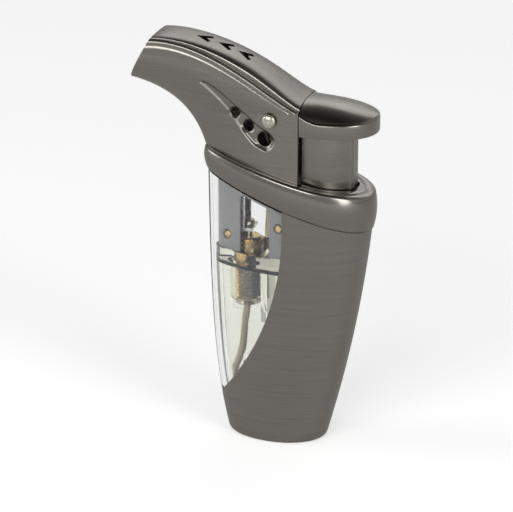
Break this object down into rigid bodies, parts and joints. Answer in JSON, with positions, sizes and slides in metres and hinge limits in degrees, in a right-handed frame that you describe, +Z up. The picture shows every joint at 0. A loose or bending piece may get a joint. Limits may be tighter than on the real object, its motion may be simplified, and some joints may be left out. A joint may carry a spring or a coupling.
{
  "type": "butane torch",
  "caption": "Pocket butane torch: oval tapering case with a clear fuel window, tilted collar, bent head with side vents, and a sprung thumb button.",
  "frame": {"origin": "middle of the flat base that the torch stands on", "axes": "+Z up through the case, -X the way the flame leaves, +Y across the torch's thickness"},
  "size_m": [0.0527, 0.0216, 0.088],
  "materials": {
    "brushed_gunmetal": "gunmetal plating over fine horizontal brushing, satin",
    "satin_gunmetal": "satin gunmetal plating",
    "polished_gunmetal": "polished dark gunmetal plating",
    "dark_plate": "dark satin plate",
    "clear_window": "clear moulded acrylic",
    "clear_tank": "clear moulded tank plastic",
    "clear_lid": "clear faintly amber moulded plastic",
    "black_rubber": "nitrile seal",
    "brass": "turned brass",
    "grey_frame": "grey moulded plastic",
    "black_plastic": "black moulded plastic",
    "black_wire": "insulated wire",
    "cream_tube": "cream flexible tube",
    "dark_fitting": "oxidised fitting",
    "bright_steel": "bright steel",
    "spring_steel": "spring wire",
    "heat_steel": "heat-tinted steel",
    "link_steel": "pressed steel strip",
    "white_plastic": "white moulded plastic",
    "ceramic_white": "glazed ceramic sleeve"
  },
  "bodies": {
    "torch": {"case_shell": "brushed_gunmetal", "window_lens": "clear_window", "base_plate": "dark_plate", "fuel_tank": "clear_tank", "tank_lid": "clear_lid", "lid_gasket": "black_rubber", "valve_body": "brass", "valve_locknut": "brass", "chassis": "grey_frame", "chassis_screws": "brass", "piezo_housing": "black_plastic", "piezo_terminal": "brass", "ignition_wire": "black_wire", "electrode": "bright_steel", "electrode_insulator": "ceramic_white", "gas_tube": "cream_tube", "tube_fitting": "dark_fitting", "feed_tube": "cream_tube", "regulator_body": "brass", "fill_valve_body": "brass", "fill_seal": "black_rubber", "fill_spring": "spring_steel", "burner_tube": "heat_steel", "burner_block": "brass", "jet_orifice": "brass", "flame_ring": "heat_steel", "burner_holder": "black_plastic", "collar": "polished_gunmetal", "head_shell": "brushed_gunmetal", "top_cover": "satin_gunmetal", "lever_pin": "bright_steel", "valve_spring": "spring_steel", "button_spring": "spring_steel"},
    "button": {"thumb_cap": "polished_gunmetal", "thumb_post": "brushed_gunmetal", "piezo_plunger": "white_plastic"},
    "lever": {"valve_lever": "link_steel"},
    "valve": {"valve_link": "link_steel", "valve_stem": "bright_steel"},
    "adjuster": {"adjuster_dial": "black_plastic"},
    "fill_valve": {"fill_stem": "bright_steel"}
  },
  "joints": [
    {"name": "button_press", "type": "slide", "parent": "torch", "child": "button", "axis": [0, 0, -1], "range_m": [0, 0.004], "stiffness_N_per_m": 600, "springref_m": -0.001, "deforming": ["button_spring"]},
    {"name": "lever_turn", "type": "hinge", "parent": "torch", "child": "lever", "pos_m": [-0.0003, 0, 0.0725], "axis": [0, 1, 0], "range_deg": [0, 19.2]},
    {"name": "valve_lift", "type": "slide", "parent": "torch", "child": "valve", "axis": [0, 0, 1], "range_m": [0, 0.0024], "deforming": ["valve_spring"]},
    {"name": "flame_adjust", "type": "hinge", "parent": "torch", "child": "adjuster", "pos_m": [-0.0046, 0, 0], "axis": [0, 0, -1], "range_deg": [-135, 135]},
    {"name": "fill_push", "type": "slide", "parent": "torch", "child": "fill_valve", "axis": [0, 0, 1], "range_m": [0, 0.001], "stiffness_N_per_m": 300, "springref_m": -0.001, "deforming": ["fill_spring"]}
  ],
  "couplings": [
    {"joint": "lever_turn", "follows": "button_press", "rad_per_m": 83.333},
    {"joint": "valve_lift", "follows": "button_press", "ratio": 0.58333}
  ]
}
